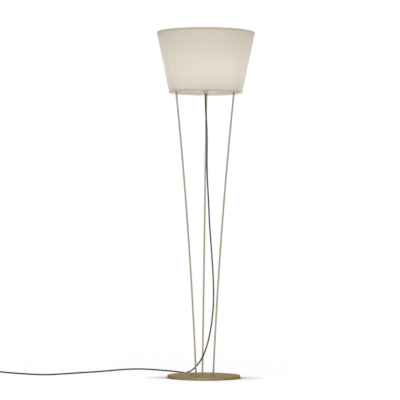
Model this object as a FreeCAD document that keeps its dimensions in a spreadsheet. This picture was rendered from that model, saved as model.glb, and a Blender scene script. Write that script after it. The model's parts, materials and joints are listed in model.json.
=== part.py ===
"""Tripod floor lamp: a flat round base, three bowed rods, a tapered drum shade and its lead.

Millimetres. +Z is up, -Y is the front, and the origin is under the middle of the base, on the floor.
"""
import FreeCAD, Part
import math
import os
import re
import Sketcher

Vector = FreeCAD.Vector
UP = Vector(0, 0, 1)
PARTS_FOLDER = "parts"

# Driving dimensions: alias, value, what it is. Heights end in _z and are measured from the floor.
DIMENSIONS = [
    ("base_d", 350.0, "base plate diameter"),
    ("plate_tall", 12.0, "base plate thickness"),
    ("plate_chamfer", 1.2, "chamfer of the base plate's upper edge"),
    ("pad_d", 338.0, "floor pad diameter"),
    ("pad_tall", 1.5, "floor pad thickness"),
    ("rod_d", 8.0, "rod diameter"),
    ("rod_bite", 6.0, "depth of a rod's foot in the base plate"),
    ("rod_gap", 0.1, "radial clearance of a rod in its hole"),
    ("foot_r", 47.7, "radius of the circle of rod feet"),
    ("foot_angle", 98.6, "direction of the rear rod's foot, from +X"),
    ("rod_top_r", 161.9, "radius of the circle of rod tops"),
    ("rod_top_angle", 88.2, "direction of the rear rod's top, from +X"),
    ("rod_top_z", 1391.0, "height of the rod tops"),
    ("rod_bow", 12.0, "inward bow of a rod at mid height"),
    ("foot_screw_d", 5.0, "foot screw thread"),
    ("foot_head_d", 9.0, "foot screw head diameter"),
    ("foot_head_tall", 2.8, "foot screw head height"),
    ("foot_screw_reach", 12.0, "foot screw length inside the rod"),
    ("foot_head_gap", 0.7, "how far a foot screw's head sits in from the underside of its hole"),
    ("hub_z", 1380.0, "underside of the hub"),
    ("hub_tall", 12.0, "hub height"),
    ("hub_d", 34.0, "hub diameter"),
    ("arm_d", 8.0, "spider arm diameter"),
    ("socket_d", 12.5, "rod socket diameter"),
    ("socket_below", 18.0, "socket length below the rod's top"),
    ("socket_above", 3.0, "socket length above the rod's top"),
    ("grub_d", 4.0, "socket grub screw diameter"),
    ("grub_reach", 4.6, "socket grub screw length"),
    ("nipple_d", 10.0, "threaded nipple diameter"),
    ("nipple_bore", 7.8, "threaded nipple bore"),
    ("nipple_z", 1372.0, "underside of the threaded nipple"),
    ("nipple_tall", 28.0, "threaded nipple length"),
    ("nut_d", 18.0, "lock nut width over corners"),
    ("nut_tall", 3.0, "lock nut height"),
    ("collar_d", 23.0, "gland collar diameter"),
    ("collar_tall", 14.0, "gland collar height"),
    ("relief_head_d", 10.6, "strain relief diameter at the collar"),
    ("relief_end_d", 8.4, "strain relief diameter at its free end"),
    ("relief_tall", 31.0, "strain relief length below the collar"),
    ("relief_seat", 6.0, "strain relief length inside the collar"),
    ("relief_seat_d", 12.0, "strain relief diameter inside the collar"),
    ("lead_d", 7.0, "lead diameter"),
    ("core_d", 1.6, "diameter of one insulated core"),
    ("cap_tall", 21.0, "lampholder cap height"),
    ("holder_d", 39.0, "lampholder diameter"),
    ("holder_wall", 2.0, "lampholder wall"),
    ("body_tall", 31.0, "lampholder body height"),
    ("flange_d", 45.0, "lampholder flange diameter"),
    ("flange_z", 1434.0, "top of the lampholder flange"),
    ("insert_z", 1410.0, "underside of the insulating insert"),
    ("insert_tall", 9.0, "insulating insert thickness"),
    ("shell_d", 28.4, "screw shell outside diameter"),
    ("shell_wall", 0.5, "screw shell wall"),
    ("shell_tall", 25.0, "screw shell height"),
    ("contact_d", 9.0, "centre contact diameter"),
    ("contact_tall", 2.0, "centre contact height"),
    ("terminal_r", 9.0, "radius of the circle of terminal screws"),
    ("terminal_head_d", 5.0, "terminal screw head diameter"),
    ("terminal_head_tall", 2.6, "terminal screw head height"),
    ("terminal_d", 3.0, "terminal screw thread"),
    ("terminal_reach", 6.0, "terminal screw length in the insert"),
    ("turn_gap", 0.3, "running gap between the shade gallery and the lampholder"),
    ("ring_bore_d", 42.0, "shade gallery ring bore"),
    ("gallery_ring_d", 60.0, "shade gallery ring outside diameter"),
    ("gallery_ring_tall", 3.0, "shade gallery ring thickness"),
    ("spoke_d", 4.0, "gallery spoke diameter"),
    ("clamp_d", 54.0, "shade ring flange diameter"),
    ("clamp_neck_d", 47.0, "shade ring grip diameter"),
    ("clamp_tall", 9.4, "shade ring height"),
    ("switch_z", 1403.5, "height of the switch shaft"),
    ("switch_angle", 28.0, "direction of the switch shaft, from +X"),
    ("switch_shaft_d", 4.0, "switch shaft diameter"),
    ("switch_hole_d", 4.8, "switch shaft hole in the cap"),
    ("switch_shaft_start", 13.0, "inner end of the switch shaft"),
    ("knob_start", 26.0, "inner face of the switch knob"),
    ("knob_long", 12.0, "switch knob length"),
    ("knob_d", 10.0, "switch knob diameter"),
    ("bulb_tip_z", 1421.4, "bulb contact tip"),
    ("bulb_cap_d", 26.6, "bulb screw cap diameter"),
    ("bulb_cap_top_z", 1446.0, "top of the bulb's screw cap"),
    ("bulb_collar_d", 40.0, "bulb collar top diameter"),
    ("bulb_collar_top_z", 1466.0, "top of the bulb's collar"),
    ("globe_d", 60.0, "bulb globe diameter"),
    ("globe_z", 1499.0, "centre of the bulb globe"),
    ("globe_wall", 1.2, "bulb globe wall"),
    ("shade_z", 1368.0, "lower rim of the shade"),
    ("shade_tall", 292.0, "shade height"),
    ("shade_top_d", 472.0, "shade top diameter"),
    ("shade_end_d", 350.0, "shade lower rim diameter"),
    ("fabric_wall", 1.0, "shade cover thickness"),
    ("lining_wall", 0.6, "shade lining thickness"),
    ("wire_d", 4.0, "shade ring wire diameter"),
    ("wire_inset", 2.4, "height of a ring wire's centre inside the rim"),
    ("coil_x", -1077.0, "centre of the stored coil"),
    ("coil_y", 289.0, "centre of the stored coil"),
    ("coil_z", 1.5, "underside of the stored coil"),
    ("coil_d", 91.0, "outside diameter of the stored coil"),
    ("coil_bore", 63.0, "inside diameter of the stored coil"),
    ("coil_tall", 21.0, "height of the stored coil"),
    ("tie_wall", 1.3, "thickness of the tie round the coil"),
    ("tie_wide", 10.0, "width of the tie round the coil"),
    ("plug_wide", 48.0, "plug width"),
    ("plug_long", 50.0, "plug length"),
    ("plug_tall", 20.0, "plug thickness"),
    ("plug_round", 5.0, "plug corner radius"),
    ("plug_relief_long", 26.0, "plug strain relief length"),
    ("plug_relief_d", 11.0, "plug strain relief diameter at the plug"),
    ("plug_relief_end_d", 9.0, "plug strain relief diameter at its free end"),
]

ROD_NAMES = ["rear_rod", "left_rod", "right_rod"]
ROD_STEP = 120.0

# The lead's route, point by point: it hangs from the gland, passes between the rear and left rods,
# goes over the rear left edge of the base and lies on the floor in long bends to the coil.
LEAD_ROUTE = [
    (0, 0, 1335), (0, 0, 1284), (7, 1, 1216), (9, 2, 1126), (8, 3, 1032), (12, 4, 936),
    (18, 5, 840), (22, 6, 745), (30, 7, 650), (37, 8, 560), (43, 9, 470), (45, 10, 385),
    (41, 12, 305), (31, 14, 225), (14, 17, 150), (-10, 29, 88), (-41, 68, 48), (-60, 108, 31),
    (-70, 144, 24.5), (-77, 184, 24.5), (-86, 236, 10), (-102, 296, 3.6), (-140, 362, 3.6),
    (-202, 434, 3.6), (-276, 506, 3.6), (-354, 524, 3.6), (-424, 460, 3.6), (-482, 374, 3.6),
    (-548, 296, 3.6), (-622, 226, 3.6), (-692, 150, 3.6), (-765, 90, 3.6), (-837, 118, 3.6),
    (-900, 164, 3.6), (-954, 210, 3.6), (-1003, 265, 3.6), (-1045, 316, 4.6),
]

# The short tail from the top of the coil down to the plug.
TAIL_ROUTE = [
    (-1060, 321, 19), (-1085, 326, 26), (-1122, 319, 26), (-1149, 311, 12), (-1176, 303, 12),
]

# Each plug pin: distance along the plug, offset across it, length along, width across, height.
PIN_SIZES = [(12.0, -11.1, 6.4, 4.0, 17.7), (12.0, 11.1, 6.4, 4.0, 17.7), (34.2, 0.0, 4.0, 8.0, 22.7)]
PIN_ROOT = 8.0

# The plug's fuse carrier: its distance from the plug's face, size, depth and how far it stands proud.
FUSE_START = 4.0
FUSE_LONG = 26.0
FUSE_WIDE = 8.0
FUSE_DEPTH = 7.0
FUSE_PROUD = 0.8

# Share of the shorter run that a bend of the lead takes up on each side of its point.
BEND_SHARE = 0.45

doc = FreeCAD.newDocument("floor_lamp")


def make_sheet():
    """The spreadsheet of driving dimensions."""
    table = doc.addObject("Spreadsheet::Sheet", "Dims")
    for row, (alias, value, meaning) in enumerate(DIMENSIONS, start=1):
        table.set(f"A{row}", meaning)
        table.set(f"B{row}", str(value))
        table.setAlias(f"B{row}", alias)
    doc.recompute()
    return table


sheet = make_sheet()


def bound(text):
    """The same formula with each alias written as a reference to the sheet."""
    return re.sub(r"[a-z]\w*", lambda word: "Dims." + word.group(), text)


def size(text):
    """The value of a formula in the sheet's aliases."""
    return float(sheet.evalExpression(text))


def polar(radius, angle, height):
    """A point at a radius, a direction in degrees and a height."""
    turn = math.radians(angle)
    return Vector(radius * math.cos(turn), radius * math.sin(turn), height)


def placed(at, along=UP):
    """A placement that puts an object's origin at a point and its Z axis along a direction."""
    return FreeCAD.Placement(at, FreeCAD.Rotation(UP, along))


def cylinder(label, radius, tall, at, along=UP):
    """A cylinder bound to the sheet, standing on a point along a direction."""
    piece = doc.addObject("Part::Cylinder", label)
    piece.setExpression("Radius", bound(radius))
    piece.setExpression("Height", bound(tall))
    piece.Placement = placed(at, along)
    return piece


def cone(label, start_radius, end_radius, tall, at, along=UP):
    """A truncated cone bound to the sheet, standing on a point along a direction."""
    piece = doc.addObject("Part::Cone", label)
    piece.setExpression("Radius1", bound(start_radius))
    piece.setExpression("Radius2", bound(end_radius))
    piece.setExpression("Height", bound(tall))
    piece.Placement = placed(at, along)
    return piece


def box(label, long, wide, tall, placement):
    """A box bound to the sheet."""
    piece = doc.addObject("Part::Box", label)
    piece.setExpression("Length", bound(long))
    piece.setExpression("Width", bound(wide))
    piece.setExpression("Height", bound(tall))
    piece.Placement = placement
    return piece


def fuse(label, pieces):
    """Several overlapping pieces joined into one solid, one after another."""
    joined = pieces[0]
    for index, piece in enumerate(pieces[1:], start=1):
        name = label if index == len(pieces) - 1 else f"{label}_{index}"
        step = doc.addObject("Part::Fuse", name)
        step.Base = joined
        step.Tool = piece
        joined = step
    return joined


def group(label, pieces):
    """Several separate solids kept as one sub-part."""
    kept = doc.addObject("Part::Compound", label)
    kept.Links = pieces
    return kept


def cut(label, solid, tools):
    """A solid with one or more tools taken away."""
    result = doc.addObject("Part::Cut", label)
    result.Base = solid
    result.Tool = tools[0] if len(tools) == 1 else group(label + "_tools", tools)
    return result


def origin_plane(body, role):
    """A body's own origin plane, found by its role."""
    return next(item for item in body.Origin.OriginFeatures if item.Role == role)


def new_sketch(body, role):
    """An empty sketch on one of a body's origin planes."""
    sketch = body.newObject("Sketcher::SketchObject", body.Name + "_sketch")
    sketch.AttachmentSupport = [(origin_plane(body, role), "")]
    sketch.MapMode = "FlatFace"
    return sketch


def tie_down(sketch, kind, corner, formula):
    """Fix one coordinate of a line's first point to a formula, measured from the sketch's origin."""
    value = size(formula)
    if abs(value) < 1e-9:
        axis = -2 if kind == "DistanceX" else -1
        sketch.addConstraint(Sketcher.Constraint("PointOnObject", corner, 1, axis))
        return
    index = sketch.addConstraint(Sketcher.Constraint(kind, -1, 1, corner, 1, value))
    sketch.setExpression(f"Constraints[{index}]", bound(formula))


def turned(label, outline):
    """A body turned about Z from an outline of (radius, height) formulas."""
    body = doc.addObject("PartDesign::Body", label)
    sketch = new_sketch(body, "XZ_Plane")
    corners = [Vector(size(radius), size(height), 0) for radius, height in outline]
    count = len(corners)
    for index in range(count):
        sketch.addGeometry(Part.LineSegment(corners[index], corners[(index + 1) % count]), False)
    for index in range(count):
        sketch.addConstraint(Sketcher.Constraint("Coincident", index, 2, (index + 1) % count, 1))
    for index, (radius, height) in enumerate(outline):
        tie_down(sketch, "DistanceX", index, radius)
        tie_down(sketch, "DistanceY", index, height)
    turn = body.newObject("PartDesign::Revolution", label + "_turn")
    turn.Profile = sketch
    turn.ReferenceAxis = (sketch, ["V_Axis"])
    turn.Angle = 360.0
    return body


def disc(label, diameter, tall, start_z):
    """A body padded from a circle: diameter, thickness and underside height as formulas."""
    body = doc.addObject("PartDesign::Body", label)
    sketch = new_sketch(body, "XY_Plane")
    sketch.addGeometry(Part.Circle(Vector(0, 0, 0), UP, size(diameter) / 2), False)
    sketch.addConstraint(Sketcher.Constraint("Coincident", 0, 3, -1, 1))
    index = sketch.addConstraint(Sketcher.Constraint("Diameter", 0, size(diameter)))
    sketch.setExpression(f"Constraints[{index}]", bound(diameter))
    pad = body.newObject("PartDesign::Pad", label + "_pad")
    pad.Profile = sketch
    pad.setExpression("Length", bound(tall))
    body.setExpression("Placement.Base.z", bound(start_z))
    return body


def bend_reach(turn, shorter, radius):
    """How far from its corner a bend starts: a share of the shorter run, or for a given radius."""
    if radius is None:
        return BEND_SHARE * shorter
    return radius * math.tan(turn / 2)


def rounded_path(points, radius=None):
    """Straight runs joined by tangent arcs. Returns the wire and the arcs' radii."""
    corners = [Vector(*point) for point in points]
    edges = []
    radii = []
    last = corners[0]
    for before, here, after in zip(corners, corners[1:], corners[2:]):
        back = (before - here).normalize()
        ahead = (after - here).normalize()
        turn = math.pi - back.getAngle(ahead)
        shorter = min((before - here).Length, (after - here).Length)
        reach = bend_reach(turn, shorter, radius)
        bend = reach / math.tan(turn / 2)
        inward = (back + ahead).normalize() * (bend / math.cos(turn / 2) - bend)
        start = here + back * reach
        edges.append(Part.LineSegment(last, start).toShape())
        last = here + ahead * reach
        edges.append(Part.Arc(start, here + inward, last).toShape())
        radii.append(bend)
    edges.append(Part.LineSegment(last, corners[-1]).toShape())
    return Part.Wire(edges), radii


def swept(label, wire, radius):
    """A round bar along a wire, with its radius bound to the sheet."""
    spine = doc.addObject("Part::Feature", label + "_path")
    spine.Shape = wire
    first = wire.OrderedEdges[0]
    section = doc.addObject("Part::Circle", label + "_section")
    section.setExpression("Radius", bound(radius))
    section.Placement = placed(first.valueAt(first.FirstParameter), first.tangentAt(first.FirstParameter))
    bar = doc.addObject("Part::Sweep", label)
    bar.Sections = [section]
    bar.Spine = (spine, [])
    bar.Solid = True
    bar.Frenet = False
    return bar


def report_tube(bar, wire, radii):
    """Print a tube's tightest bends and compare its volume with its section times its length."""
    radius = size("lead_d / 2")
    expected = math.pi * radius ** 2 * wire.Length
    listed = " ".join(f"{bend:.0f}" for bend in radii)
    ratio = bar.Shape.Volume / expected
    print(f"{bar.Label}: length {wire.Length:.0f} mm, volume ratio {ratio:.5f}, bend radii {listed}")


def rod_arc(turn):
    """The centre line of a rod, turned about the middle of the lamp from the rear rod."""
    foot = polar(size("foot_r"), size("foot_angle") + turn, size("pad_tall + plate_tall - rod_bite"))
    top = polar(size("rod_top_r"), size("rod_top_angle") + turn, size("rod_top_z"))
    middle = (foot + top) * 0.5
    inward = Vector(-middle.x, -middle.y, 0).normalize()
    return Part.Arc(foot, middle + inward * size("rod_bow"), top).toShape()


def rod_ends(turn):
    """A rod's foot and top points with the directions in which the rod runs upwards there."""
    arc = rod_arc(turn)
    foot = arc.valueAt(arc.FirstParameter)
    top = arc.valueAt(arc.LastParameter)
    return foot, arc.tangentAt(arc.FirstParameter), top, arc.tangentAt(arc.LastParameter)


ROD_TURNS = [ROD_STEP * index for index in range(len(ROD_NAMES))]


def make_base():
    """The base plate with its rod holes, and the pad that it stands on."""
    plate = disc("base_plate_blank", "base_d", "plate_tall", "pad_tall")
    doc.recompute()
    pad = plate.Tip
    heights = [edge.CenterOfMass.z if edge.Closed else -1.0 for edge in pad.Shape.Edges]
    upper_rim = heights.index(max(heights)) + 1
    chamfer = plate.newObject("PartDesign::Chamfer", "base_plate_edge")
    chamfer.Base = (pad, [f"Edge{upper_rim}"])
    chamfer.setExpression("Size", bound("plate_chamfer"))
    tools = []
    for index, turn in enumerate(ROD_TURNS):
        foot, rise, _, _ = rod_ends(turn)
        head_top = foot - rise * size("rod_bite - foot_head_tall - foot_head_gap")
        tools.append(cylinder(f"rod_hole_{index}", "rod_d / 2 + rod_gap", "2 * rod_bite", foot, rise))
        tools.append(cylinder(f"screw_hole_{index}", "foot_screw_d / 2 + 0.2", "rod_bite", head_top, rise))
        tools.append(cylinder(f"head_hole_{index}", "foot_head_d / 2 + 0.4", "2 * rod_bite",
                              head_top, rise * -1))
    return [cut("base_plate", plate, tools), disc("base_pad", "pad_d", "pad_tall", "0")]


def make_foot_screws():
    """Three screws up through the base plate into the rods."""
    screws = []
    for index, turn in enumerate(ROD_TURNS):
        foot, rise, _, _ = rod_ends(turn)
        head_top = foot - rise * size("rod_bite - foot_head_tall - foot_head_gap")
        head = cylinder(f"foot_head_{index}", "foot_head_d / 2", "foot_head_tall",
                        head_top - rise * size("foot_head_tall"), rise)
        shank = cylinder(f"foot_shank_{index}", "foot_screw_d / 2",
                         "foot_screw_reach + rod_bite - foot_head_tall - foot_head_gap", head_top, rise)
        screws.append(fuse(f"foot_screw_{index}", [head, shank]))
    return [group("foot_screws", screws)]


def make_rods():
    """Three bowed rods, each with a tapped hole in its foot."""
    rods = []
    for index, (name, turn) in enumerate(zip(ROD_NAMES, ROD_TURNS)):
        foot, rise, _, _ = rod_ends(turn)
        bar = swept(f"rod_bar_{index}", Part.Wire([rod_arc(turn)]), "rod_d / 2")
        hole = cylinder(f"rod_tap_{index}", "foot_screw_d / 2", "foot_screw_reach + 1",
                        foot - rise, rise)
        rods.append(cut(name, bar, [hole]))
    return rods


def grub_axis(top, rise):
    """Where a grub screw starts in a socket, and its direction, level and along the circle of rods."""
    middle = top - rise * size("socket_below / 2")
    sideways = UP.cross(Vector(top.x, top.y, 0)).normalize()
    return middle + sideways * size("rod_d / 2 + rod_gap"), sideways


def make_spider():
    """The hub, its three arms and the sockets on the rod tops, with the grub screws."""
    hub = cylinder("hub", "hub_d / 2", "hub_tall", Vector(0, 0, size("hub_z")))
    solids = [hub]
    tools = [cylinder("hub_bore", "nipple_d / 2", "hub_tall + 2", Vector(0, 0, size("hub_z - 1")))]
    grubs = []
    for index, turn in enumerate(ROD_TURNS):
        _, _, top, rise = rod_ends(turn)
        arm_z = size("hub_z + hub_tall / 2")
        reach = top + rise * ((arm_z - top.z) / rise.z)
        arm = doc.addObject("Part::Cylinder", f"arm_{index}")
        arm.setExpression("Radius", bound("arm_d / 2"))
        arm.Height = Vector(reach.x, reach.y, 0).Length - size("nipple_d")
        outward = Vector(reach.x, reach.y, 0).normalize()
        arm.Placement = placed(outward * size("nipple_d") + Vector(0, 0, arm_z), outward)
        solids.append(arm)
        solids.append(cylinder(f"socket_{index}", "socket_d / 2", "socket_below + socket_above",
                               top - rise * size("socket_below"), rise))
        tools.append(cylinder(f"socket_hole_{index}", "rod_d / 2 + rod_gap", "socket_below + 2",
                              top - rise * size("socket_below + 2"), rise))
        start, sideways = grub_axis(top, rise)
        tools.append(cylinder(f"grub_hole_{index}", "grub_d / 2", "socket_d / 2", start, sideways))
        grubs.append(cylinder(f"grub_{index}", "grub_d / 2", "grub_reach", start, sideways))
    blank = fuse("top_spider_blank", solids)
    return [cut("top_spider", blank, tools), group("socket_screws", grubs)]


def make_lead_exit():
    """The hollow nipple through the hub, its nut, the gland collar and the strain relief."""
    nipple = turned("threaded_nipple", [
        ("nipple_bore / 2", "nipple_z"), ("nipple_d / 2", "nipple_z"),
        ("nipple_d / 2", "nipple_z + nipple_tall"), ("nipple_bore / 2", "nipple_z + nipple_tall"),
    ])
    nut_blank = doc.addObject("Part::Prism", "lock_nut_blank")
    nut_blank.Polygon = 6
    nut_blank.setExpression("Circumradius", bound("nut_d / 2"))
    nut_blank.setExpression("Height", bound("nut_tall"))
    nut_blank.Placement = placed(Vector(0, 0, size("hub_z + hub_tall")))
    nut_bore = cylinder("lock_nut_bore", "nipple_d / 2", "nut_tall + 2",
                        Vector(0, 0, size("hub_z + hub_tall - 1")))
    nut = cut("lock_nut", nut_blank, [nut_bore])
    collar = turned("gland_collar", [
        ("relief_seat_d / 2", "hub_z - collar_tall"), ("collar_d / 2 - 1", "hub_z - collar_tall"),
        ("collar_d / 2", "hub_z - collar_tall + 1"), ("collar_d / 2", "hub_z"),
        ("nipple_d / 2", "hub_z"), ("nipple_d / 2", "hub_z - collar_tall + relief_seat"),
        ("relief_seat_d / 2", "hub_z - collar_tall + relief_seat"),
    ])
    relief = turned("strain_relief", [
        ("lead_d / 2", "hub_z - collar_tall - relief_tall"),
        ("relief_end_d / 2", "hub_z - collar_tall - relief_tall"),
        ("relief_head_d / 2", "hub_z - collar_tall"), ("relief_seat_d / 2", "hub_z - collar_tall"),
        ("relief_seat_d / 2", "hub_z - collar_tall + relief_seat"),
        ("lead_d / 2", "hub_z - collar_tall + relief_seat"),
    ])
    return [nipple, nut, collar, relief]


def make_lead_cores():
    """The lead's end inside the lamp: its sheath up through the nipple, then one core to each terminal."""
    bottom = size("hub_z - collar_tall - relief_tall")
    sheath_top = size("nipple_z + nipple_tall - 1")
    sheath = doc.addObject("Part::Cylinder", "lead_sheath_end")
    sheath.setExpression("Radius", bound("lead_d / 2"))
    sheath.setExpression("Height", bound("nipple_z + nipple_tall - 1 - hub_z + collar_tall + relief_tall"))
    sheath.Placement = placed(Vector(0, 0, bottom))
    solids = [sheath]
    for index, angle in enumerate(terminal_angles()):
        start = polar(size("core_d"), angle, sheath_top - 1)
        end = polar(size("terminal_r - terminal_head_d / 2"), angle, size("insert_z - core_d"))
        core = doc.addObject("Part::Cylinder", f"core_{index}")
        core.setExpression("Radius", bound("core_d / 2"))
        core.Height = (end - start).Length
        core.Placement = placed(start, (end - start).normalize())
        solids.append(core)
    return [fuse("lead_cores", solids)]


def terminal_angles():
    """Directions of the three terminals, from +X."""
    return [90.0 + ROD_STEP * index for index in range(3)]


def make_lampholder():
    """The lampholder's cap, body, insert, contacts and terminal screws, and its shade ring."""
    cap_z = "hub_z + hub_tall + nut_tall"
    cap_blank = turned("holder_cap_blank", [
        ("nipple_d / 2", cap_z), ("nipple_d / 2 + 7", cap_z), ("holder_d / 2", cap_z + " + 5"),
        ("holder_d / 2", cap_z + " + cap_tall"), ("holder_d / 2 - holder_wall", cap_z + " + cap_tall"),
        ("holder_d / 2 - holder_wall", cap_z + " + 6"), ("nipple_d / 2 + 6", cap_z + " + 2.5"),
        ("nipple_d / 2", cap_z + " + 2.5"),
    ])
    outward = polar(1.0, size("switch_angle"), 0)
    shaft_hole = cylinder("switch_hole", "switch_hole_d / 2", "holder_d",
                          Vector(0, 0, size("switch_z")) + outward * size("switch_shaft_start"), outward)
    cap = cut("holder_cap", cap_blank, [shaft_hole])
    body_z = cap_z + " + cap_tall"
    neck = "holder_d / 2 + 0.3"
    body = turned("holder_body", [
        ("holder_d / 2 - holder_wall", body_z), ("holder_d / 2", body_z),
        ("holder_d / 2", "flange_z - 5"), ("flange_d / 2", "flange_z - 3"), ("flange_d / 2", "flange_z"),
        (neck, "flange_z"), (neck, body_z + " + body_tall"),
        ("holder_d / 2 - 3", body_z + " + body_tall"), ("holder_d / 2 - 3", "insert_z + insert_tall"),
        ("holder_d / 2 - holder_wall", "insert_z + insert_tall"),
    ])
    insert_blank = disc("holder_insert_blank", "holder_d - 2 * holder_wall", "insert_tall", "insert_z")
    terminals = []
    holes = []
    for index, angle in enumerate(terminal_angles()):
        at = polar(size("terminal_r"), angle, size("insert_z"))
        holes.append(cylinder(f"terminal_hole_{index}", "terminal_d / 2", "terminal_reach", at))
        head = cylinder(f"terminal_head_{index}", "terminal_head_d / 2", "terminal_head_tall",
                        at - UP * size("terminal_head_tall"))
        shank = cylinder(f"terminal_shank_{index}", "terminal_d / 2", "terminal_reach", at)
        terminals.append(fuse(f"terminal_{index}", [head, shank]))
    insert = cut("holder_insert", insert_blank, holes)
    shell_z = "insert_z + insert_tall"
    shell = turned("screw_shell", [
        ("shell_d / 2 - shell_wall", shell_z), ("shell_d / 2", shell_z),
        ("shell_d / 2", shell_z + " + shell_tall"), ("shell_d / 2 - shell_wall", shell_z + " + shell_tall"),
    ])
    contact = disc("centre_contact", "contact_d", "contact_tall", shell_z)
    clamp_z = "flange_z + gallery_ring_tall + 2 * turn_gap"
    shade_ring = turned("shade_ring", [
        (neck, clamp_z), ("clamp_d / 2", clamp_z), ("clamp_d / 2", clamp_z + " + 3"),
        ("clamp_neck_d / 2", clamp_z + " + 4"), ("clamp_neck_d / 2", clamp_z + " + clamp_tall"),
        (neck, clamp_z + " + clamp_tall"),
    ])
    return [cap, body, insert, shell, contact, group("terminal_screws", terminals), shade_ring]


def make_switch():
    """The switch knob on its shaft, which turns in the side of the lampholder's cap."""
    outward = polar(1.0, size("switch_angle"), 0)
    centre = Vector(0, 0, size("switch_z"))
    shaft = cylinder("switch_shaft", "switch_shaft_d / 2", "knob_start - switch_shaft_start",
                     centre + outward * size("switch_shaft_start"), outward)
    barrel = cylinder("switch_barrel", "knob_d / 2", "knob_long",
                      centre + outward * size("knob_start"), outward)
    rotation = FreeCAD.Rotation(outward, UP.cross(outward), UP, "XYZ")
    grip = centre + outward * size("knob_start + knob_long / 3")
    flats = []
    for index, offset in enumerate(("knob_d / 4", "-knob_d / 4 - knob_d")):
        corner = grip + rotation.multVec(Vector(0, size(offset), -size("knob_d")))
        flats.append(box(f"knob_flat_{index}", "knob_long", "knob_d", "2 * knob_d",
                         FreeCAD.Placement(corner, rotation)))
    knob = cut("switch_knob", barrel, flats)
    return [shaft, knob]


def make_bulb():
    """The bulb: screw cap, collar and a hollow globe."""
    cap = turned("bulb_cap", [
        ("0", "bulb_tip_z"), ("contact_d / 2", "bulb_tip_z"),
        ("contact_d / 2", "bulb_tip_z + 1.5"), ("bulb_cap_d / 2 - 2", "bulb_tip_z + 5"),
        ("bulb_cap_d / 2", "bulb_tip_z + 6"), ("bulb_cap_d / 2", "bulb_cap_top_z"),
        ("0", "bulb_cap_top_z"),
    ])
    collar = turned("bulb_collar", [
        ("0", "bulb_cap_top_z"), ("bulb_cap_d / 2", "bulb_cap_top_z"),
        ("bulb_cap_d / 2 + 1", "bulb_cap_top_z + 2"), ("bulb_collar_d / 2", "bulb_collar_top_z"),
        ("0", "bulb_collar_top_z"),
    ])
    ball = doc.addObject("Part::Sphere", "globe_ball")
    ball.setExpression("Radius", bound("globe_d / 2"))
    ball.Placement = placed(Vector(0, 0, size("globe_z")))
    neck = cone("globe_neck", "bulb_collar_d / 2", "globe_d / 2 - 1.7", "globe_z - bulb_collar_top_z - 8",
                Vector(0, 0, size("bulb_collar_top_z")))
    hollow = doc.addObject("Part::Sphere", "globe_hollow")
    hollow.setExpression("Radius", bound("globe_d / 2 - globe_wall"))
    hollow.Placement = placed(Vector(0, 0, size("globe_z")))
    throat = cone("globe_throat", "bulb_collar_d / 2 - globe_wall", "globe_d / 2 - 1.7 - globe_wall",
                  "globe_z - bulb_collar_top_z - 8", Vector(0, 0, size("bulb_collar_top_z")))
    below = cylinder("globe_below", "globe_d", "globe_d", Vector(0, 0, size("bulb_collar_top_z - globe_d")))
    outer = cut("globe_outer", fuse("globe_outer_blank", [ball, neck]), [below])
    globe = cut("bulb_globe", outer, [fuse("globe_inside", [hollow, throat])])
    return [cap, collar, globe]


def wall_radius(height, inset):
    """Radius of a surface that lies a given inset inside the shade's outside, at a height."""
    lean = size("(shade_top_d - shade_end_d) / 2 / shade_tall")
    return size("shade_end_d / 2") + lean * (height - size("shade_z")) - inset


def make_shade_walls():
    """The fabric cover and the lining bonded inside it."""
    top_z = "shade_z + shade_tall"
    cover = turned("shade_cover", [
        ("shade_end_d / 2 - fabric_wall", "shade_z"), ("shade_end_d / 2", "shade_z"),
        ("shade_top_d / 2", top_z), ("shade_top_d / 2 - fabric_wall", top_z),
    ])
    lining = turned("shade_lining", [
        ("shade_end_d / 2 - fabric_wall - lining_wall", "shade_z"),
        ("shade_end_d / 2 - fabric_wall", "shade_z"), ("shade_top_d / 2 - fabric_wall", top_z),
        ("shade_top_d / 2 - fabric_wall - lining_wall", top_z),
    ])
    return [cover, lining]


def wire_radius(height):
    """Radius of a ring wire's centre line where the wire just touches the lining."""
    lean = math.atan(size("(shade_top_d - shade_end_d) / 2 / shade_tall"))
    touch = size("wire_d / 2") / math.cos(lean) + 0.02
    return wall_radius(height, size("fabric_wall + lining_wall") + touch)


def make_wires():
    """The wire rings inside the shade's upper and lower rims."""
    rings = []
    for label, height in (("shade_top_wire", size("shade_z + shade_tall - wire_inset")),
                          ("shade_end_wire", size("shade_z + wire_inset"))):
        ring = doc.addObject("Part::Torus", label)
        ring.Radius1 = wire_radius(height)
        ring.setExpression("Radius2", bound("wire_d / 2"))
        ring.Placement = placed(Vector(0, 0, height))
        rings.append(ring)
    return rings


def make_gallery():
    """The centre ring that sits on the lampholder, and its three spokes from the lower rim's wire."""
    low = size("flange_z + turn_gap")
    ring = turned("gallery_ring", [
        ("ring_bore_d / 2", "flange_z + turn_gap"), ("gallery_ring_d / 2", "flange_z + turn_gap"),
        ("gallery_ring_d / 2", "flange_z + turn_gap + gallery_ring_tall"),
        ("ring_bore_d / 2", "flange_z + turn_gap + gallery_ring_tall"),
    ])
    solids = [ring]
    knee_z = size("shade_z + 36")
    end_z = size("shade_z + wire_inset")
    for index in range(3):
        angle = 30.0 + ROD_STEP * index
        knee = polar(wire_radius(knee_z) - 0.5, angle, knee_z)
        weld = polar(wire_radius(end_z), angle, end_z)
        end = weld + (knee - weld).normalize() * size("wire_d / 2")
        start = polar(size("gallery_ring_d / 2 - 2"), angle, low + size("gallery_ring_tall / 2"))
        wire, _ = rounded_path([start, knee, end], size("2 * spoke_d"))
        solids.append(swept(f"spoke_{index}", wire, "spoke_d / 2"))
    return [fuse("shade_gallery", solids)]


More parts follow.
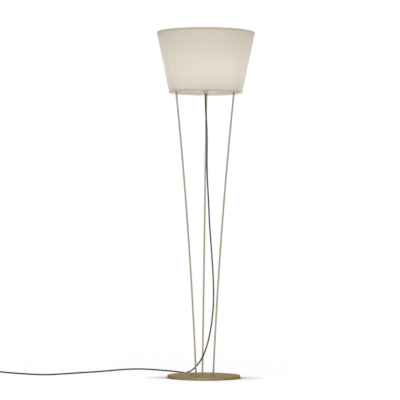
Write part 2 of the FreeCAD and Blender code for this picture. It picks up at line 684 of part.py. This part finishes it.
def make_leads():
    """The lead from the gland to the coil, and its tail from the coil to the plug."""
    tubes = []
    for label, route in (("lead", LEAD_ROUTE), ("lead_tail", TAIL_ROUTE)):
        wire, radii = rounded_path(route)
        tubes.append((swept(label, wire, "lead_d / 2"), wire, radii))
    doc.recompute()
    for tube, wire, radii in tubes:
        report_tube(tube, wire, radii)
    return [tube for tube, _, _ in tubes]


def make_coil():
    """The stored length of lead as one ring, and the tie round it."""
    centre = Vector(size("coil_x"), size("coil_y"), size("coil_z"))
    solid = cylinder("coil_outside", "coil_d / 2", "coil_tall", centre)
    hole = cylinder("coil_inside", "coil_bore / 2", "coil_tall + 2", centre - UP)
    coil = cut("lead_coil", solid, [hole])
    sideways = FreeCAD.Rotation(UP, 200.0)
    corner = Vector(size("coil_bore / 2 - tie_wall - 0.4"), -size("tie_wide / 2"), -size("tie_wall"))
    outer = box("tie_outside", "(coil_d - coil_bore) / 2 + 2 * tie_wall + 0.4", "tie_wide",
                "coil_tall + 2 * tie_wall",
                FreeCAD.Placement(centre + sideways.multVec(corner), sideways))
    window = Vector(size("coil_bore / 2 - 0.4"), -size("tie_wide"), 0)
    inner = box("tie_inside", "(coil_d - coil_bore) / 2 + 0.4", "2 * tie_wide", "coil_tall",
                FreeCAD.Placement(centre + sideways.multVec(window), sideways))
    return [coil, cut("coil_tie", outer, [inner])]


def make_plug():
    """A fused plug lying on its back on the floor at the end of the tail: relief, body, pins, fuse."""
    end = Vector(*TAIL_ROUTE[-1])
    heading = end - Vector(*TAIL_ROUTE[-2])
    heading = Vector(heading.x, heading.y, 0).normalize()
    across = UP.cross(heading)
    rotation = FreeCAD.Rotation(heading, across, UP, "XYZ")
    relief = cone("plug_relief", "plug_relief_end_d / 2", "plug_relief_d / 2", "plug_relief_long",
                  end, heading)
    face = end + heading * size("plug_relief_long")
    floor = Vector(face.x, face.y, 0.3)
    block = box("plug_block", "plug_long", "plug_wide", "plug_tall",
                FreeCAD.Placement(floor - across * size("plug_wide / 2"), rotation))
    doc.recompute()
    upright = [index + 1 for index, edge in enumerate(block.Shape.Edges)
               if abs(edge.Vertexes[0].Z - edge.Vertexes[-1].Z) > 1.0]
    rounded = doc.addObject("Part::Fillet", "plug_rounded")
    rounded.Base = block
    rounded.Edges = [(index, size("plug_round"), size("plug_round")) for index in upright]
    top = floor + UP * size("plug_tall")
    pins = []
    for index, (along, side, long, wide, tall) in enumerate(PIN_SIZES):
        corner = top + heading * (along - long / 2) + across * (side - wide / 2) - UP * PIN_ROOT
        pin = doc.addObject("Part::Box", f"pin_{index}")
        pin.Length = long
        pin.Width = wide
        pin.Height = tall + PIN_ROOT
        pin.Placement = FreeCAD.Placement(corner, rotation)
        pins.append(pin)
    carrier = doc.addObject("Part::Box", "fuse_carrier")
    carrier.Length = FUSE_LONG
    carrier.Width = FUSE_WIDE
    carrier.Height = FUSE_DEPTH + FUSE_PROUD
    carrier_corner = top + heading * FUSE_START - across * (FUSE_WIDE / 2) - UP * FUSE_DEPTH
    carrier.Placement = FreeCAD.Placement(carrier_corner, rotation)
    body = cut("plug_body", rounded, pins + [carrier])
    return [relief, body, group("plug_pins", pins), carrier]


def build():
    """Every sub-part of the lamp, in the order in which it would be assembled."""
    makers = [make_base, make_foot_screws, make_rods, make_spider, make_lead_exit, make_lead_cores,
              make_lampholder, make_switch, make_bulb, make_shade_walls, make_wires, make_gallery,
              make_leads, make_coil, make_plug]
    pieces = []
    for make in makers:
        pieces.extend(make())
    doc.recompute()
    return pieces


def check(pieces):
    """Stop if any object failed or any sub-part has no valid shape."""
    for item in doc.Objects:
        if "Invalid" in item.State or "Error" in item.State:
            raise RuntimeError(f"{item.Label} failed: {item.State}")
    for piece in pieces:
        if piece.Shape.isNull() or not piece.Shape.isValid():
            raise RuntimeError(f"{piece.Label} has no valid shape")


def export(pieces):
    """Write one STEP file per sub-part."""
    os.makedirs(PARTS_FOLDER, exist_ok=True)
    for piece in pieces:
        piece.Shape.exportStep(f"{PARTS_FOLDER}/{piece.Label}.step")
        bounds = piece.Shape.BoundBox
        print(f"{piece.Label}: {len(piece.Shape.Solids)} solids, "
              f"z {bounds.ZMin:.1f} to {bounds.ZMax:.1f}, {piece.Shape.Volume / 1000:.2f} cm3")


sub_parts = build()
check(sub_parts)
export(sub_parts)
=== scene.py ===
"""Looks of the tripod floor lamp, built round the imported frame. Metres, +Z up, -Y is the front."""
import json
import math
import bmesh
import bpy
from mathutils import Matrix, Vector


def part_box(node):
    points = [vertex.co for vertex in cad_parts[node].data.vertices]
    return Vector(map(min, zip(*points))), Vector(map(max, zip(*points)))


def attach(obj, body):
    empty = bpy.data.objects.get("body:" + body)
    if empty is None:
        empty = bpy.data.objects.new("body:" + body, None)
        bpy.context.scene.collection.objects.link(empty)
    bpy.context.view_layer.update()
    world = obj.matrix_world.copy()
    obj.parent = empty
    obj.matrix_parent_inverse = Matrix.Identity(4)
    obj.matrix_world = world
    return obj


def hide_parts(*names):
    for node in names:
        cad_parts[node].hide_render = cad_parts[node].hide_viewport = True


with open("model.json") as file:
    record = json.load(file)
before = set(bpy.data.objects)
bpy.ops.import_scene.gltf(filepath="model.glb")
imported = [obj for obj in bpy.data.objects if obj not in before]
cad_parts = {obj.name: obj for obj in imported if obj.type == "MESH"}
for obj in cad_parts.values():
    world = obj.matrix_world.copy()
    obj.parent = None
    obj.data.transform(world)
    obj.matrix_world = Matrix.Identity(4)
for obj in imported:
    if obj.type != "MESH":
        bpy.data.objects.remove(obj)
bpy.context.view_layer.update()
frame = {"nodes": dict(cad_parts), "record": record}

STAND = "lamp_stand"
SHADE = "shade"

# ---------------------------------------------------------------- sizes of the shade, in metres

SHADE_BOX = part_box("shade_cover")
SHADE_TOP_RADIUS = SHADE_BOX[1].x
SHADE_END_RADIUS = 0.175
CLOTH_THICK = 0.0007
HEM_WIDE = 0.012
WIRE_WRAP = 0.0026
LINER_THICK = 0.0006
LINER_GAP = 0.0011
LINER_SHORT = 0.003
# The cloth's ends overlap in a glued seam at the back: its place, a quarter turn from +X, and its width.
SEAM_AROUND = SHADE_TOP_RADIUS * math.pi / 2
SEAM_WIDE = 0.01

# ---------------------------------------------------------------- camera

CAMERA_PLACE = (-0.0227, -8.889, 0.685)
CAMERA_PITCH = math.radians(1.084)
CAMERA_ROLL = math.radians(-0.34)
CAMERA_LENS = 166.5


def make_camera():
    """The camera at the height and distance from which the lamp is seen, looking a little upwards."""
    data = bpy.data.cameras.new("camera")
    data.lens = CAMERA_LENS
    data.sensor_width = 36.0
    data.clip_end = 200.0
    camera = bpy.data.objects.new("camera", data)
    camera.location = CAMERA_PLACE
    camera.rotation_euler = (math.pi / 2 + CAMERA_PITCH, CAMERA_ROLL, 0.0)
    bpy.context.scene.collection.objects.link(camera)
    bpy.context.scene.camera = camera


make_camera()

# ---------------------------------------------------------------- materials


def new_material(name, **values):
    """A material with its shader's own sockets set. Returns it, its tree and the shader."""
    material = bpy.data.materials.new(name)
    material.use_nodes = True
    tree = material.node_tree
    shader = tree.nodes["Principled BSDF"]
    for socket, value in values.items():
        shader.inputs[socket.replace("_", " ")].default_value = value
    return material, tree, shader


def add(tree, kind, **settings):
    """A node with its properties or unlinked inputs set."""
    node = tree.nodes.new(kind)
    for key, value in settings.items():
        if hasattr(node, key):
            setattr(node, key, value)
        else:
            node.inputs[key.replace("_", " ")].default_value = value
    return node


def noise_field(tree, scale, detail=4.0):
    """A noise texture in object space. Returns its value socket."""
    place = add(tree, "ShaderNodeTexCoord")
    field = add(tree, "ShaderNodeTexNoise", Scale=scale, Detail=detail)
    tree.links.new(place.outputs["Object"], field.inputs["Vector"])
    return field.outputs["Fac"]


def ramp(tree, source, low, high, start=0.3, end=0.7):
    """A colour or value between two ends, led by a source value."""
    node = add(tree, "ShaderNodeValToRGB")
    node.color_ramp.elements[0].position = start
    node.color_ramp.elements[0].color = low
    node.color_ramp.elements[1].position = end
    node.color_ramp.elements[1].color = high
    tree.links.new(source, node.inputs["Fac"])
    return node.outputs["Color"]


def grey(value):
    """An opaque grey."""
    return (value, value, value, 1.0)


def tinted(colour, factor):
    """A colour made lighter or darker."""
    return (colour[0] * factor, colour[1] * factor, colour[2] * factor, 1.0)


def bump(tree, shader, height, distance, strength=0.5):
    """Drive the shader's normal from a height value."""
    node = add(tree, "ShaderNodeBump", Strength=strength, Distance=distance)
    tree.links.new(height, node.inputs["Height"])
    tree.links.new(node.outputs["Normal"], shader.inputs["Normal"])


def plain_finish(name, colour, roughness, metallic=0.0, grain=260.0, depth=0.00004, spread=0.1, **values):
    """A moulded, painted or metal finish: slight mottling, uneven gloss and a fine surface grain."""
    material, tree, shader = new_material(name, Metallic=metallic, **values)
    mottle = noise_field(tree, grain * 0.08, 3.0)
    tone = ramp(tree, mottle, tinted(colour, 1.0 - spread), tinted(colour, 1.0 + spread))
    tree.links.new(tone, shader.inputs["Base Color"])
    gloss = ramp(tree, noise_field(tree, grain * 0.3), grey(roughness * 0.82), grey(roughness * 1.18))
    tree.links.new(gloss, shader.inputs["Roughness"])
    bump(tree, shader, noise_field(tree, grain, 6.0), depth)
    return material


BRONZE = (0.305, 0.222, 0.104)
ROD_BRONZE = (0.37, 0.32, 0.225)
EDGE_TINT = (0.34, 0.275, 0.17, 1.0)
LEAD_GREY = (0.025, 0.0235, 0.022)


def combined(tree, operation, first, second):
    """Two values put together by a math operation. The second may be a number."""
    node = add(tree, "ShaderNodeMath", operation=operation)
    tree.links.new(first, node.inputs[0])
    if isinstance(second, (int, float)):
        node.inputs[1].default_value = second
    else:
        tree.links.new(second, node.inputs[1])
    return node.outputs["Value"]


def thread_wave(tree, source, pitch):
    """Parallel threads of a given pitch along one direction of the cloth, from a coordinate in metres."""
    turns = combined(tree, "MULTIPLY", source, 2.0 * math.pi / pitch)
    wave = add(tree, "ShaderNodeMath", operation="SINE")
    tree.links.new(turns, wave.inputs[0])
    return wave.outputs["Value"]


THREAD_PITCH = 0.0011
THREAD_DEEP = 0.00012
CLOTH = (0.66, 0.63, 0.56)
CLOTH_GLOW = (0.95, 0.915, 0.855)
# The heights of the slubs and of the seam's step, as multiples of a thread's.
SLUB_STEP = 6.0
SEAM_STEP = 3.0
# The share of the light that the cloth lets through, what the turned-in edge of the lower hem adds to that
# share, and how much of the tint is left at the seam.
CLOTH_THROUGH = 0.66
HEM_THROUGH = 0.2
SEAM_THROUGH = 0.86
LINER_THROUGH = 0.78
BULB_STRENGTH = 46.0


def cloth_coordinates(tree):
    """The cloth's own two directions in metres: round the shade and up its slope."""
    uv = add(tree, "ShaderNodeUVMap", uv_map="cloth")
    split = add(tree, "ShaderNodeSeparateXYZ")
    tree.links.new(uv.outputs["UV"], split.inputs["Vector"])
    return uv.outputs["UV"], split.outputs["X"], split.outputs["Y"]


def slub_field(tree, uv, stretch):
    """Long thin noise along one direction of the cloth: the thick and thin places of its threads."""
    shape = add(tree, "ShaderNodeMapping")
    shape.inputs["Scale"].default_value = stretch
    tree.links.new(uv, shape.inputs["Vector"])
    field = add(tree, "ShaderNodeTexNoise", Scale=1.0, Detail=3.0)
    tree.links.new(shape.outputs["Vector"], field.inputs["Vector"])
    return field.outputs["Fac"]


def seam_mask(tree, around):
    """One within the seam's width and nothing elsewhere, from the coordinate round the shade."""
    mask = add(tree, "ShaderNodeMath", operation="COMPARE")
    tree.links.new(around, mask.inputs[0])
    mask.inputs[1].default_value = SEAM_AROUND
    mask.inputs[2].default_value = SEAM_WIDE / 2
    return mask.outputs["Value"]


def let_light_through(tree, shader, glow):
    """Mix a translucent shader into the surface. Returns the mix node, whose factor is left to set."""
    mix = add(tree, "ShaderNodeMixShader")
    tree.links.new(shader.outputs["BSDF"], mix.inputs[1])
    tree.links.new(glow.outputs["BSDF"], mix.inputs[2])
    tree.links.new(mix.outputs["Shader"], tree.nodes["Material Output"].inputs["Surface"])
    return mix


def make_cloth_material():
    """Linen-look shade cloth: crossed threads with slubs, a soft sheen, and light let through."""
    material, tree, shader = new_material("shade_linen", Roughness=0.85, Sheen_Weight=0.15,
                                          Sheen_Roughness=0.5, Specular_IOR_Level=0.2)
    uv, around, upward = cloth_coordinates(tree)
    weft_slub = slub_field(tree, uv, (14.0, 900.0, 1.0))
    warp_slub = slub_field(tree, uv, (900.0, 10.0, 1.0))
    slubs = combined(tree, "MULTIPLY", weft_slub, warp_slub)
    tone = ramp(tree, slubs, tinted(CLOTH, 0.86), tinted(CLOTH, 1.08), start=0.12, end=0.42)
    tree.links.new(tone, shader.inputs["Base Color"])
    warp = thread_wave(tree, around, THREAD_PITCH)
    weft = thread_wave(tree, upward, THREAD_PITCH)
    weave = combined(tree, "MULTIPLY", warp, weft)
    height = combined(tree, "ADD", weave, combined(tree, "MULTIPLY", slubs, SLUB_STEP))
    seam = seam_mask(tree, around)
    height = combined(tree, "ADD", height, combined(tree, "MULTIPLY", seam, SEAM_STEP))
    bump(tree, shader, height, THREAD_DEEP, 0.6)
    glow = add(tree, "ShaderNodeBsdfTranslucent")
    through = ramp(tree, seam, tinted(CLOTH_GLOW, 1.0), tinted(CLOTH_GLOW, SEAM_THROUGH))
    tree.links.new(through, glow.inputs["Color"])
    mix = let_light_through(tree, shader, glow)
    hem = combined(tree, "LESS_THAN", upward, HEM_WIDE)
    share = combined(tree, "ADD", combined(tree, "MULTIPLY", hem, HEM_THROUGH), CLOTH_THROUGH)
    tree.links.new(share, mix.inputs["Fac"])
    return material


def make_liner_material():
    """Styrene lining: smooth and a little glossy, and it lets most of the light through."""
    material, tree, shader = new_material("liner_styrene", Specular_IOR_Level=0.5)
    # The lining's own tone, kept darker than white styrene as painted shade for the dim inside of the
    # shade.
    tone = ramp(tree, noise_field(tree, 14.0, 2.0), (0.34, 0.32, 0.29, 1.0), (0.38, 0.36, 0.33, 1.0))
    tree.links.new(tone, shader.inputs["Base Color"])
    gloss = ramp(tree, noise_field(tree, 60.0), grey(0.26), grey(0.34))
    tree.links.new(gloss, shader.inputs["Roughness"])
    bump(tree, shader, noise_field(tree, 400.0), 0.00003, 0.3)
    glow = add(tree, "ShaderNodeBsdfTranslucent", Color=(0.94, 0.93, 0.91, 1.0))
    let_light_through(tree, shader, glow).inputs["Fac"].default_value = LINER_THROUGH
    return material


def make_globe_material():
    """Lit opal glass: an even, slightly cool glow under a smooth skin."""
    material, tree, shader = new_material("bulb_opal", Roughness=0.25)
    tone = ramp(tree, noise_field(tree, 25.0, 2.0), (0.92, 0.88, 0.8, 1.0), (0.96, 0.93, 0.86, 1.0))
    tree.links.new(tone, shader.inputs["Base Color"])
    shader.inputs["Emission Color"].default_value = (0.84, 0.925, 1.0, 1.0)
    shader.inputs["Emission Strength"].default_value = BULB_STRENGTH
    return material


# The fine grain of a smooth coat or moulding.
SMOOTH = {"grain": 300.0, "depth": 0.00003}

# The finish for each material slot in the record.
FINISHES = {
    "plate_lacquer": plain_finish("plate_bronze", BRONZE, 0.48, metallic=0.7, spread=0.06, **SMOOTH,
                                  Specular_Tint=EDGE_TINT, Specular_IOR_Level=0.1),
    "rod_lacquer": plain_finish("rod_bronze", ROD_BRONZE, 0.42, metallic=0.7, spread=0.06, **SMOOTH,
                                Specular_Tint=EDGE_TINT),
    "spider_lacquer": plain_finish("spider_bronze", BRONZE, 0.42, metallic=0.85, spread=0.08, **SMOOTH),
    "pad": plain_finish("pad_rubber", (0.03, 0.028, 0.026), 0.9, grain=500.0, depth=0.0002),
    "screw_steel": plain_finish("screw_zinc", (0.55, 0.55, 0.54), 0.35, metallic=1.0, grain=400.0),
    "nipple_steel": plain_finish("nipple_zinc", (0.5, 0.49, 0.46), 0.4, metallic=1.0, grain=400.0),
    "collar_lacquer": plain_finish("collar_satin", (0.64, 0.6, 0.53), 0.5, metallic=0.2, grain=300.0),
    "relief_rubber": plain_finish("relief_rubber", (0.13, 0.124, 0.114), 0.6, grain=500.0, depth=0.00008),
    "lead_sheath": plain_finish("lead_sheath", LEAD_GREY, 0.5, grain=420.0, depth=0.00006),
    "holder_plastic": plain_finish("holder_cream", (0.72, 0.69, 0.62), 0.35, spread=0.04, **SMOOTH),
    "insert_ceramic": plain_finish("insert_glaze", (0.7, 0.68, 0.62), 0.2, grain=200.0, depth=0.00003,
                                   spread=0.05),
    "contact_brass": plain_finish("contact_brass", (0.6, 0.44, 0.18), 0.3, metallic=1.0, grain=400.0),
    "knob_plastic": plain_finish("knob_black", (0.025, 0.025, 0.025), 0.3, grain=400.0),
    "bulb_metal": plain_finish("bulb_nickel", (0.72, 0.71, 0.68), 0.25, metallic=1.0, grain=400.0),
    "bulb_plastic": plain_finish("bulb_white", (0.84, 0.83, 0.8), 0.35, grain=200.0, depth=0.00003,
                                 spread=0.03),
    "opal_glass": make_globe_material(),
    "shade_fabric": make_cloth_material(),
    "shade_lining": make_liner_material(),
    "wire_white": plain_finish("wire_white", (0.78, 0.76, 0.72), 0.4, grain=300.0, depth=0.00005,
                               spread=0.05),
    "tie_plastic": plain_finish("tie_black", (0.02, 0.02, 0.02), 0.85, grain=900.0, depth=0.0003),
    "plug_plastic": plain_finish("plug_grey", (0.05, 0.05, 0.05), 0.35, grain=350.0, depth=0.00005),
    "pin_brass": plain_finish("pin_brass", (0.62, 0.47, 0.2), 0.25, metallic=1.0, grain=400.0),
}


def finish_cad_nodes():
    """Each CAD node takes the finish of its slot in the record."""
    for part in frame["record"]["subparts"]:
        node = frame["nodes"][part["node"]]
        for slot in node.material_slots:
            slot.material = FINISHES[part["material_slot"]]


finish_cad_nodes()


def placed(name, data, slot, body, *nodes):
    """Put a new piece in the scene with its finish, its body and the CAD nodes that it stands for."""
    piece = bpy.data.objects.new(name, data)
    bpy.context.scene.collection.objects.link(piece)
    data.materials.append(FINISHES[slot])
    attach(piece, body)
    if nodes:
        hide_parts(*nodes)
    return piece


# ---------------------------------------------------------------- lead

LEAD_RADIUS = 0.0035

# The lead's route in metres: it hangs from the gland, passes between the rear and left rods, goes over
# the rear left edge of the base and lies on the floor in long bends to the coil.
LEAD_ROUTE = [
    (0.0, 0.0, 1.335), (0.0, 0.0, 1.284), (0.007, 0.001, 1.216), (0.009, 0.002, 1.126),
    (0.008, 0.003, 1.032), (0.012, 0.004, 0.936), (0.018, 0.005, 0.840), (0.022, 0.006, 0.745),
    (0.030, 0.007, 0.650), (0.037, 0.008, 0.560), (0.043, 0.009, 0.470), (0.045, 0.010, 0.385),
    (0.041, 0.012, 0.305), (0.031, 0.014, 0.225), (0.014, 0.017, 0.150), (-0.010, 0.029, 0.088),
    (-0.041, 0.068, 0.046), (-0.060, 0.108, 0.027), (-0.070, 0.144, 0.019), (-0.077, 0.184, 0.0175),
    (-0.086, 0.236, 0.005), (-0.102, 0.296, 0.0036), (-0.140, 0.362, 0.0036),
    (-0.202, 0.434, 0.0036), (-0.276, 0.506, 0.0036), (-0.354, 0.524, 0.0036),
    (-0.424, 0.460, 0.0036), (-0.482, 0.374, 0.0036), (-0.548, 0.296, 0.0036),
    (-0.622, 0.226, 0.0036), (-0.692, 0.150, 0.0036), (-0.765, 0.090, 0.0036),
    (-0.837, 0.118, 0.0036), (-0.900, 0.164, 0.0036), (-0.954, 0.210, 0.0036),
    (-1.003, 0.265, 0.0036),
]

# The tail from the top of the coil down to the plug.
TAIL_ROUTE = [
    (-1.060, 0.321, 0.019), (-1.085, 0.326, 0.026), (-1.122, 0.319, 0.026),
    (-1.149, 0.311, 0.012), (-1.176, 0.303, 0.012),
]

COIL_CENTRE = (-1.077, 0.289)
COIL_ENTRY = 40.0
COIL_OUTER = 0.042
COIL_INNER = 0.035
COIL_LAYERS = (0.005, 0.012, 0.019)
COIL_TURNS = 5
COIL_POINTS_PER_TURN = 12
COIL_CHANGE = 60.0
# Where the winding changes column or layer: degrees wound so far, then the new radius and height.
COIL_CHANGES = [
    (300.0, COIL_INNER, COIL_LAYERS[0]), (600.0, COIL_INNER, COIL_LAYERS[1]),
    (900.0, COIL_OUTER, COIL_LAYERS[1]), (1200.0, COIL_OUTER, COIL_LAYERS[2]),
    (1500.0, COIL_INNER, COIL_LAYERS[2]),
]


def coil_state(wound):
    """Radius and height of the winding after a number of degrees."""
    radius, height = COIL_OUTER, COIL_LAYERS[0]
    for start, new_radius, new_height in COIL_CHANGES:
        share = min(max((wound - start) / COIL_CHANGE, 0.0), 1.0)
        radius += (new_radius - radius) * share
        height += (new_height - height) * share
    return radius, height


def coil_points():
    """Control points of the coil's turns. Each lies just outside its circle, which the line touches."""
    step = 360.0 / COIL_POINTS_PER_TURN
    outside = 1.0 / math.cos(math.radians(step / 2))
    points = []
    for index in range(COIL_TURNS * COIL_POINTS_PER_TURN):
        wound = (index + 0.5) * step
        radius, height = coil_state(wound)
        angle = math.radians(COIL_ENTRY + wound)
        points.append((COIL_CENTRE[0] + radius * outside * math.cos(angle),
                       COIL_CENTRE[1] + radius * outside * math.sin(angle), height))
    return points


def make_lead():
    """The whole lead as one smooth line: hanging, lying, coiled, and up to the plug."""
    curve = bpy.data.curves.new("lead_flex", "CURVE")
    curve.dimensions = "3D"
    curve.resolution_u = 8
    curve.bevel_depth = LEAD_RADIUS
    curve.bevel_resolution = 5
    curve.use_fill_caps = True
    points = LEAD_ROUTE + coil_points() + TAIL_ROUTE
    spline = curve.splines.new("NURBS")
    spline.points.add(len(points) - 1)
    for control, point in zip(spline.points, points):
        control.co = (*point, 1.0)
    spline.order_u = 3
    spline.use_endpoint_u = True
    lead = placed("lead_flex", curve, "lead_sheath", STAND, "lead", "lead_tail", "lead_coil")


make_lead()

# ---------------------------------------------------------------- shade


TURN_SEGMENTS = 192
SHARP_ANGLE = math.radians(40.0)


def turned_mesh(name, profile, closed, uv_name=None):
    """A mesh turned about Z from (radius, height) points. The UV map, if any, is in metres."""
    mesh = bpy.data.meshes.new(name)
    work = bmesh.new()
    turns = [2.0 * math.pi * index / TURN_SEGMENTS for index in range(TURN_SEGMENTS)]
    rings = [[work.verts.new((radius * math.cos(turn), radius * math.sin(turn), height)) for turn in turns]
             for radius, height in profile]
    lengths = [0.0]
    for (r_a, z_a), (r_b, z_b) in zip(profile, profile[1:]):
        lengths.append(lengths[-1] + math.hypot(r_b - r_a, z_b - z_a))
    layer = work.loops.layers.uv.new(uv_name) if uv_name else None
    around = 2.0 * math.pi * max(radius for radius, _ in profile)
    count = len(profile)
    for row in range(count if closed else count - 1):
        low, high = rings[row], rings[(row + 1) % count]
        for index in range(TURN_SEGMENTS):
            after = (index + 1) % TURN_SEGMENTS
            face = work.faces.new((low[index], low[after], high[after], high[index]))
            face.smooth = True
            if layer:
                spots = [(index, row), (index + 1, row), (index + 1, row + 1), (index, row + 1)]
                for loop, (turn, level) in zip(face.loops, spots):
                    loop[layer].uv = (around * turn / TURN_SEGMENTS, lengths[level])
    bmesh.ops.recalc_face_normals(work, faces=work.faces)
    work.to_mesh(mesh)
    work.free()
    mesh.set_sharp_from_angle(angle=SHARP_ANGLE)
    return mesh


def cone_radius(height, inset=0.0):
    """Radius of the shade's outside at a height, less an inset."""
    (_, _, low), (_, _, high) = SHADE_BOX
    share = (height - low) / (high - low)
    return SHADE_END_RADIUS + (SHADE_TOP_RADIUS - SHADE_END_RADIUS) * share - inset


def hem_arc(centre_radius, centre_height, start, end, steps=6):
    """Points of the cloth where it is rolled round a ring wire, from one direction to another."""
    points = []
    for index in range(steps + 1):
        angle = math.radians(start + (end - start) * index / steps)
        points.append((centre_radius + WIRE_WRAP * math.cos(angle),
                       centre_height + WIRE_WRAP * math.sin(angle)))
    return points


CLOTH_ROWS = 24


def cloth_profile():
    """The cloth's line from the lower hem, round the lower wire, up the outside and over the top wire."""
    low, high = SHADE_BOX[0].z, SHADE_BOX[1].z
    lean = math.degrees(math.atan2(SHADE_TOP_RADIUS - SHADE_END_RADIUS, high - low))
    skin = CLOTH_THICK / 2
    inner = 2 * WIRE_WRAP + CLOTH_THICK
    bottom_z = low + WIRE_WRAP
    top_z = high - WIRE_WRAP
    bottom = (cone_radius(bottom_z, WIRE_WRAP + skin), bottom_z)
    top = (cone_radius(top_z, WIRE_WRAP + skin), top_z)
    points = [(cone_radius(low + HEM_WIDE, inner), low + HEM_WIDE),
              (cone_radius(low + HEM_WIDE / 2, inner), low + HEM_WIDE / 2)]
    points += hem_arc(*bottom, 180.0 - lean, 360.0 - lean)
    for index in range(1, CLOTH_ROWS):
        height = bottom_z + (top_z - bottom_z) * index / CLOTH_ROWS
        points.append((cone_radius(height, skin), height))
    points += hem_arc(*top, -lean, 180.0 - lean)
    points += [(cone_radius(high - HEM_WIDE / 2, inner), high - HEM_WIDE / 2),
               (cone_radius(high - HEM_WIDE, inner), high - HEM_WIDE)]
    return points


def make_cover():
    """The cloth cover with its rolled hems."""
    cloth = placed("shade_cloth", turned_mesh("shade_cloth", cloth_profile(), False, uv_name="cloth"),
                   "shade_fabric", SHADE, "shade_cover")
    solid = cloth.modifiers.new("thickness", "SOLIDIFY")
    solid.thickness = CLOTH_THICK
    solid.offset = 0.0


def make_liner():
    """The smooth lining inside the cloth, a little shorter than it at both ends."""
    low, high = SHADE_BOX[0].z + LINER_SHORT, SHADE_BOX[1].z - LINER_SHORT
    inside = LINER_GAP + LINER_THICK
    profile = [(cone_radius(low, LINER_GAP), low), (cone_radius(high, LINER_GAP), high),
               (cone_radius(high, inside), high), (cone_radius(low, inside), low)]
    placed("shade_liner", turned_mesh("shade_liner", profile, True), "shade_lining", SHADE, "shade_lining")


make_cover()
make_liner()

# ---------------------------------------------------------------- stage and light


FLOOR_TONE = 0.99
# The painted shadow on the floor beside the base: distance from the lamp's axis in metres, then how much
# of the floor's tone is left there. It is narrower from front to back than from side to side.
PAINTED_BASE_SHADOW = [(0.168, 0.3), (0.2, 0.66), (0.31, 1.0)]
BASE_SHADE_REACH = 0.4
BASE_SHADE_NARROW = 2.0
# Painted contact shade on the floor close under what lies on it: how far that shade reaches and what is
# left of the tone there.
CONTACT_REACH = 0.03
PAINTED_CONTACT_SHADE = 0.35
FLOOR_HALF = 30.0


def make_floor_material():
    """Pale floor, with painted shadow in a soft patch round the base and close under what lies on it."""
    material, tree, shader = new_material("floor_white", Roughness=0.8, Specular_IOR_Level=0.1)
    shape = add(tree, "ShaderNodeMapping")
    shape.inputs["Scale"].default_value = (1.0, BASE_SHADE_NARROW, 0.0)
    tree.links.new(add(tree, "ShaderNodeTexCoord").outputs["Object"], shape.inputs["Vector"])
    distance = add(tree, "ShaderNodeVectorMath", operation="LENGTH")
    tree.links.new(shape.outputs["Vector"], distance.inputs[0])
    share = combined(tree, "DIVIDE", distance.outputs["Value"], BASE_SHADE_REACH)
    # A painted shadow round the base, led by the distance from the lamp's axis.
    patch = add(tree, "ShaderNodeValToRGB")
    patch.color_ramp.elements.new(0.5)
    for stop, (radius, left) in zip(patch.color_ramp.elements, PAINTED_BASE_SHADOW):
        stop.position = radius / BASE_SHADE_REACH
        stop.color = grey(left * FLOOR_TONE)
    tree.links.new(share, patch.inputs["Fac"])
    # Painted contact shade: the floor's colour is darker close under what lies on it.
    near = add(tree, "ShaderNodeAmbientOcclusion", Distance=CONTACT_REACH)
    close = ramp(tree, near.outputs["AO"], grey(PAINTED_CONTACT_SHADE), grey(1.0), start=0.2, end=0.9)
    tone = add(tree, "ShaderNodeVectorMath", operation="MULTIPLY")
    tree.links.new(patch.outputs["Color"], tone.inputs[0])
    tree.links.new(close, tone.inputs[1])
    tree.links.new(tone.outputs["Vector"], shader.inputs["Base Color"])
    return material


def make_floor():
    """A wide pale floor."""
    mesh = bpy.data.meshes.new("floor")
    corners = [(-1, -1), (1, -1), (1, 1), (-1, 1)]
    mesh.from_pydata([(FLOOR_HALF * x, FLOOR_HALF * y, 0.0) for x, y in corners], [], [(0, 1, 2, 3)])
    mesh.materials.append(make_floor_material())
    floor = bpy.data.objects.new("floor", mesh)
    bpy.context.scene.collection.objects.link(floor)


# The strength of the surround at the two sides, and before and behind the lamp.
SIDE_LIGHT = 0.5
FRONT_LIGHT = 1.45
SUN_STRENGTH = 1.1
SUN_SPREAD = math.radians(90.0)
SUN_TURN = (math.radians(40.0), 0.0, math.radians(-8.0))


def make_surround():
    """A surround stronger before and behind the lamp than at its sides. It is seen as plain white."""
    world = bpy.data.worlds.new("surround")
    world.use_nodes = True
    tree = world.node_tree
    split = add(tree, "ShaderNodeSeparateXYZ")
    tree.links.new(add(tree, "ShaderNodeTexCoord").outputs["Generated"], split.inputs["Vector"])
    depth = combined(tree, "MULTIPLY", split.outputs["Y"], split.outputs["Y"])
    strength = add(tree, "ShaderNodeMapRange", From_Min=0.0, From_Max=1.0, To_Min=SIDE_LIGHT,
                   To_Max=FRONT_LIGHT)
    tree.links.new(depth, strength.inputs["Value"])
    seen = add(tree, "ShaderNodeMix", data_type="FLOAT")
    tree.links.new(add(tree, "ShaderNodeLightPath").outputs["Is Camera Ray"], seen.inputs["Factor"])
    tree.links.new(strength.outputs["Result"], seen.inputs["A"])
    seen.inputs["B"].default_value = 1.0
    tree.links.new(seen.outputs["Result"], tree.nodes["Background"].inputs["Strength"])
    tree.nodes["Background"].inputs["Color"].default_value = grey(1.0)
    bpy.context.scene.world = world


def make_light():
    """One very soft light from the front and above."""
    data = bpy.data.lights.new("front_soft", "SUN")
    data.energy = SUN_STRENGTH
    data.angle = SUN_SPREAD
    sun = bpy.data.objects.new("front_soft", data)
    sun.rotation_euler = SUN_TURN
    bpy.context.scene.collection.objects.link(sun)


make_floor()
make_surround()
make_light()
bpy.context.scene.view_settings.view_transform = "Standard"
